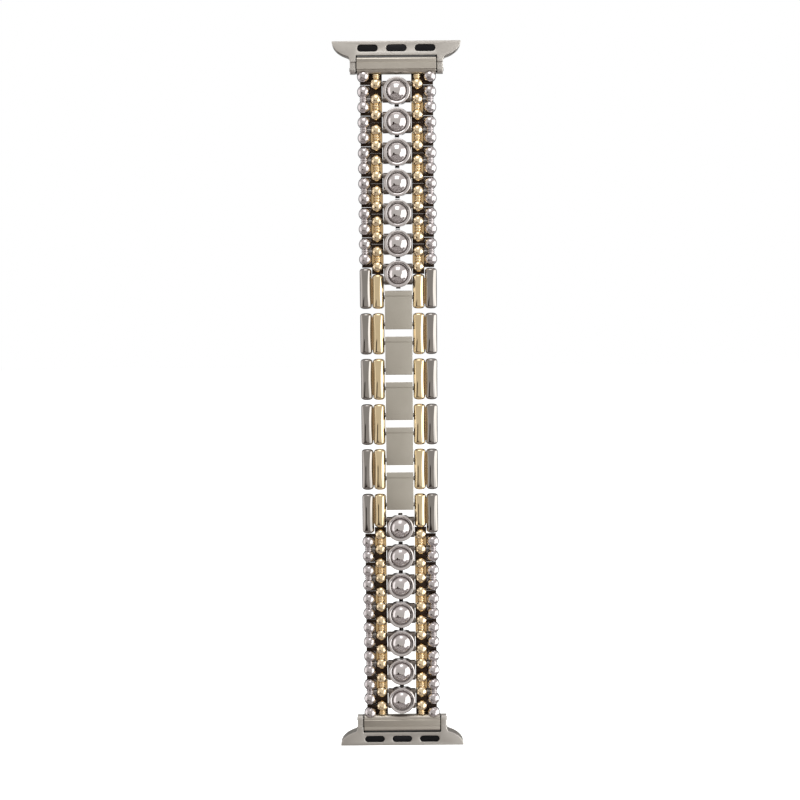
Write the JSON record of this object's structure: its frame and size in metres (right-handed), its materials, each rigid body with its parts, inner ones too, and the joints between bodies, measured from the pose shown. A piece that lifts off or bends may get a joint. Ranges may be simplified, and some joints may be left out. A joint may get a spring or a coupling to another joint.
{
  "type": "metal watch bracelet",
  "caption": "Two-tone metal watch bracelet with domed and beaded links at both ends, rod links and flat centre plates in the middle, and sliding connectors.",
  "frame": {"origin": "middle of the upper connector's outer face, in the plane of the link pins", "axes": "X across the bracelet, Z along it with the bracelet hanging towards -Z, -Y out of its face"},
  "size_m": [0.0318, 0.0049, 0.1786],
  "materials": {
    "satin_steel": "satin plated",
    "polished_silver": "polished",
    "polished_gold": "polished gold plate",
    "plain_steel": "drawn",
    "soft_black_pad": "matt",
    "dark_lock_button": "gloss"
  },
  "bodies": {
    "upper_connector": {"upper_connector": "satin_steel", "upper_connector_pads": "soft_black_pad", "upper_spring_bar": "plain_steel"},
    "upper_lock_button": {"upper_lock_button": "dark_lock_button", "upper_lock_spring": "plain_steel"},
    "upper_end_link": {"upper_end_link": "satin_steel", "upper_end_link_gold_beads": "polished_gold"},
    "dome_link_01": {"dome_link_01": "polished_silver"},
    "bead_row_01": {"bead_row_01": "polished_silver"},
    "dome_link_02": {"dome_link_02": "polished_silver"},
    "bead_row_02": {"bead_row_02": "polished_silver"},
    "dome_link_03": {"dome_link_03": "polished_silver"},
    "bead_row_03": {"bead_row_03": "polished_silver"},
    "dome_link_04": {"dome_link_04": "polished_silver"},
    "bead_row_04": {"bead_row_04": "polished_silver"},
    "dome_link_05": {"dome_link_05": "polished_silver"},
    "bead_row_05": {"bead_row_05": "polished_silver"},
    "dome_link_06": {"dome_link_06": "polished_silver"},
    "bead_row_06": {"bead_row_06": "polished_silver"},
    "dome_link_07": {"dome_link_07": "polished_silver"},
    "rod_row_01": {"rod_row_01": "polished_silver", "gold_rods_01": "polished_gold"},
    "centre_plate_01": {"centre_plate_01": "satin_steel"},
    "rod_row_02": {"rod_row_02": "polished_silver", "gold_rods_02": "polished_gold"},
    "centre_plate_02": {"centre_plate_02": "satin_steel"},
    "rod_row_03": {"rod_row_03": "polished_silver", "gold_rods_03": "polished_gold"},
    "centre_plate_03": {"centre_plate_03": "satin_steel"},
    "rod_row_04": {"rod_row_04": "polished_silver", "gold_rods_04": "polished_gold"},
    "centre_plate_04": {"centre_plate_04": "satin_steel"},
    "rod_row_05": {"rod_row_05": "polished_silver", "gold_rods_05": "polished_gold"},
    "centre_plate_05": {"centre_plate_05": "satin_steel"},
    "rod_row_06": {"rod_row_06": "polished_silver", "gold_rods_06": "polished_gold"},
    "dome_link_08": {"dome_link_08": "polished_silver"},
    "bead_row_07": {"bead_row_07": "polished_silver"},
    "dome_link_09": {"dome_link_09": "polished_silver"},
    "bead_row_08": {"bead_row_08": "polished_silver"},
    "dome_link_10": {"dome_link_10": "polished_silver"},
    "bead_row_09": {"bead_row_09": "polished_silver"},
    "dome_link_11": {"dome_link_11": "polished_silver"},
    "bead_row_10": {"bead_row_10": "polished_silver"},
    "dome_link_12": {"dome_link_12": "polished_silver"},
    "bead_row_11": {"bead_row_11": "polished_silver"},
    "dome_link_13": {"dome_link_13": "polished_silver"},
    "bead_row_12": {"bead_row_12": "polished_silver"},
    "dome_link_14": {"dome_link_14": "polished_silver"},
    "lower_end_link": {"lower_end_link": "satin_steel", "lower_end_link_gold_beads": "polished_gold"},
    "lower_connector": {"lower_connector": "satin_steel", "lower_connector_pads": "soft_black_pad", "lower_spring_bar": "plain_steel"},
    "lower_lock_button": {"lower_lock_button": "dark_lock_button", "lower_lock_spring": "plain_steel"}
  },
  "joints": [
    {"name": "upper_connector_pivot", "type": "hinge", "parent": "upper_connector", "child": "upper_end_link", "pos_m": [0, 0, -0.0067], "axis": [1, 0, 0], "range_deg": [-20, 45]},
    {"name": "lower_connector_pivot", "type": "hinge", "parent": "lower_end_link", "child": "lower_connector", "pos_m": [0, 0, -0.1719], "axis": [-1, 0, 0], "range_deg": [-45, 20]},
    {"name": "upper_lock_press", "type": "slide", "parent": "upper_connector", "child": "upper_lock_button", "axis": [0, 1, 0], "range_m": [0, 0.0006]},
    {"name": "lower_lock_press", "type": "slide", "parent": "lower_connector", "child": "lower_lock_button", "axis": [0, 1, 0], "range_m": [0, 0.0006]},
    {"name": "dome_01_upper_pin", "type": "hinge", "parent": "upper_end_link", "child": "dome_link_01", "pos_m": [0, 0, -0.01022], "axis": [-1, 0, 0], "range_deg": [-25, 10]},
    {"name": "dome_01_lower_pin", "type": "hinge", "parent": "dome_link_01", "child": "bead_row_01", "pos_m": [0, 0, -0.01397], "axis": [1, 0, 0], "range_deg": [-10, 25]},
    {"name": "dome_02_upper_pin", "type": "hinge", "parent": "bead_row_01", "child": "dome_link_02", "pos_m": [0, 0, -0.01773], "axis": [-1, 0, 0], "range_deg": [-25, 10]},
    {"name": "dome_02_lower_pin", "type": "hinge", "parent": "dome_link_02", "child": "bead_row_02", "pos_m": [0, 0, -0.02148], "axis": [1, 0, 0], "range_deg": [-10, 25]},
    {"name": "dome_03_upper_pin", "type": "hinge", "parent": "bead_row_02", "child": "dome_link_03", "pos_m": [0, 0, -0.02523], "axis": [-1, 0, 0], "range_deg": [-25, 10]},
    {"name": "dome_03_lower_pin", "type": "hinge", "parent": "dome_link_03", "child": "bead_row_03", "pos_m": [0, 0, -0.02898], "axis": [1, 0, 0], "range_deg": [-10, 25]},
    {"name": "dome_04_upper_pin", "type": "hinge", "parent": "bead_row_03", "child": "dome_link_04", "pos_m": [0, 0, -0.03272], "axis": [-1, 0, 0], "range_deg": [-25, 10]},
    {"name": "dome_04_lower_pin", "type": "hinge", "parent": "dome_link_04", "child": "bead_row_04", "pos_m": [0, 0, -0.03648], "axis": [1, 0, 0], "range_deg": [-10, 25]},
    {"name": "dome_05_upper_pin", "type": "hinge", "parent": "bead_row_04", "child": "dome_link_05", "pos_m": [0, 0, -0.04022], "axis": [-1, 0, 0], "range_deg": [-25, 10]},
    {"name": "dome_05_lower_pin", "type": "hinge", "parent": "dome_link_05", "child": "bead_row_05", "pos_m": [0, 0, -0.04398], "axis": [1, 0, 0], "range_deg": [-10, 25]},
    {"name": "dome_06_upper_pin", "type": "hinge", "parent": "bead_row_05", "child": "dome_link_06", "pos_m": [0, 0, -0.04772], "axis": [-1, 0, 0], "range_deg": [-25, 10]},
    {"name": "dome_06_lower_pin", "type": "hinge", "parent": "dome_link_06", "child": "bead_row_06", "pos_m": [0, 0, -0.05147], "axis": [1, 0, 0], "range_deg": [-10, 25]},
    {"name": "dome_07_upper_pin", "type": "hinge", "parent": "bead_row_06", "child": "dome_link_07", "pos_m": [0, 0, -0.05523], "axis": [-1, 0, 0], "range_deg": [-25, 10]},
    {"name": "dome_07_lower_pin", "type": "hinge", "parent": "dome_link_07", "child": "rod_row_01", "pos_m": [0, 0, -0.05897], "axis": [1, 0, 0], "range_deg": [-10, 25]},
    {"name": "plate_01_upper_pin", "type": "hinge", "parent": "rod_row_01", "child": "centre_plate_01", "pos_m": [0, 0, -0.0629], "axis": [-1, 0, 0], "range_deg": [-25, 10]},
    {"name": "plate_01_lower_pin", "type": "hinge", "parent": "centre_plate_01", "child": "rod_row_02", "pos_m": [0, 0, -0.0697], "axis": [1, 0, 0], "range_deg": [-10, 25]},
    {"name": "plate_02_upper_pin", "type": "hinge", "parent": "rod_row_02", "child": "centre_plate_02", "pos_m": [0, 0, -0.0744], "axis": [-1, 0, 0], "range_deg": [-25, 10]},
    {"name": "plate_02_lower_pin", "type": "hinge", "parent": "centre_plate_02", "child": "rod_row_03", "pos_m": [0, 0, -0.0812], "axis": [1, 0, 0], "range_deg": [-10, 25]},
    {"name": "plate_03_upper_pin", "type": "hinge", "parent": "rod_row_03", "child": "centre_plate_03", "pos_m": [0, 0, -0.0859], "axis": [-1, 0, 0], "range_deg": [-25, 10]},
    {"name": "plate_03_lower_pin", "type": "hinge", "parent": "centre_plate_03", "child": "rod_row_04", "pos_m": [0, 0, -0.0927], "axis": [1, 0, 0], "range_deg": [-10, 25]},
    {"name": "plate_04_upper_pin", "type": "hinge", "parent": "rod_row_04", "child": "centre_plate_04", "pos_m": [0, 0, -0.0974], "axis": [-1, 0, 0], "range_deg": [-25, 10]},
    {"name": "plate_04_lower_pin", "type": "hinge", "parent": "centre_plate_04", "child": "rod_row_05", "pos_m": [0, 0, -0.1042], "axis": [1, 0, 0], "range_deg": [-10, 25]},
    {"name": "plate_05_upper_pin", "type": "hinge", "parent": "rod_row_05", "child": "centre_plate_05", "pos_m": [0, 0, -0.1089], "axis": [-1, 0, 0], "range_deg": [-25, 10]},
    {"name": "plate_05_lower_pin", "type": "hinge", "parent": "centre_plate_05", "child": "rod_row_06", "pos_m": [0, 0, -0.1157], "axis": [1, 0, 0], "range_deg": [-10, 25]},
    {"name": "dome_08_upper_pin", "type": "hinge", "parent": "rod_row_06", "child": "dome_link_08", "pos_m": [0, 0, -0.11962], "axis": [-1, 0, 0], "range_deg": [-25, 10]},
    {"name": "dome_08_lower_pin", "type": "hinge", "parent": "dome_link_08", "child": "bead_row_07", "pos_m": [0, 0, -0.12337], "axis": [1, 0, 0], "range_deg": [-10, 25]},
    {"name": "dome_09_upper_pin", "type": "hinge", "parent": "bead_row_07", "child": "dome_link_09", "pos_m": [0, 0, -0.12712], "axis": [-1, 0, 0], "range_deg": [-25, 10]},
    {"name": "dome_09_lower_pin", "type": "hinge", "parent": "dome_link_09", "child": "bead_row_08", "pos_m": [0, 0, -0.13087], "axis": [1, 0, 0], "range_deg": [-10, 25]},
    {"name": "dome_10_upper_pin", "type": "hinge", "parent": "bead_row_08", "child": "dome_link_10", "pos_m": [0, 0, -0.13462], "axis": [-1, 0, 0], "range_deg": [-25, 10]},
    {"name": "dome_10_lower_pin", "type": "hinge", "parent": "dome_link_10", "child": "bead_row_09", "pos_m": [0, 0, -0.13837], "axis": [1, 0, 0], "range_deg": [-10, 25]},
    {"name": "dome_11_upper_pin", "type": "hinge", "parent": "bead_row_09", "child": "dome_link_11", "pos_m": [0, 0, -0.14213], "axis": [-1, 0, 0], "range_deg": [-25, 10]},
    {"name": "dome_11_lower_pin", "type": "hinge", "parent": "dome_link_11", "child": "bead_row_10", "pos_m": [0, 0, -0.14588], "axis": [1, 0, 0], "range_deg": [-10, 25]},
    {"name": "dome_12_upper_pin", "type": "hinge", "parent": "bead_row_10", "child": "dome_link_12", "pos_m": [0, 0, -0.14963], "axis": [-1, 0, 0], "range_deg": [-25, 10]},
    {"name": "dome_12_lower_pin", "type": "hinge", "parent": "dome_link_12", "child": "bead_row_11", "pos_m": [0, 0, -0.15338], "axis": [1, 0, 0], "range_deg": [-10, 25]},
    {"name": "dome_13_upper_pin", "type": "hinge", "parent": "bead_row_11", "child": "dome_link_13", "pos_m": [0, 0, -0.15712], "axis": [-1, 0, 0], "range_deg": [-25, 10]},
    {"name": "dome_13_lower_pin", "type": "hinge", "parent": "dome_link_13", "child": "bead_row_12", "pos_m": [0, 0, -0.16087], "axis": [1, 0, 0], "range_deg": [-10, 25]},
    {"name": "dome_14_upper_pin", "type": "hinge", "parent": "bead_row_12", "child": "dome_link_14", "pos_m": [0, 0, -0.16462], "axis": [-1, 0, 0], "range_deg": [-25, 10]},
    {"name": "dome_14_lower_pin", "type": "hinge", "parent": "dome_link_14", "child": "lower_end_link", "pos_m": [0, 0, -0.16837], "axis": [1, 0, 0], "range_deg": [-10, 25]}
  ]
}
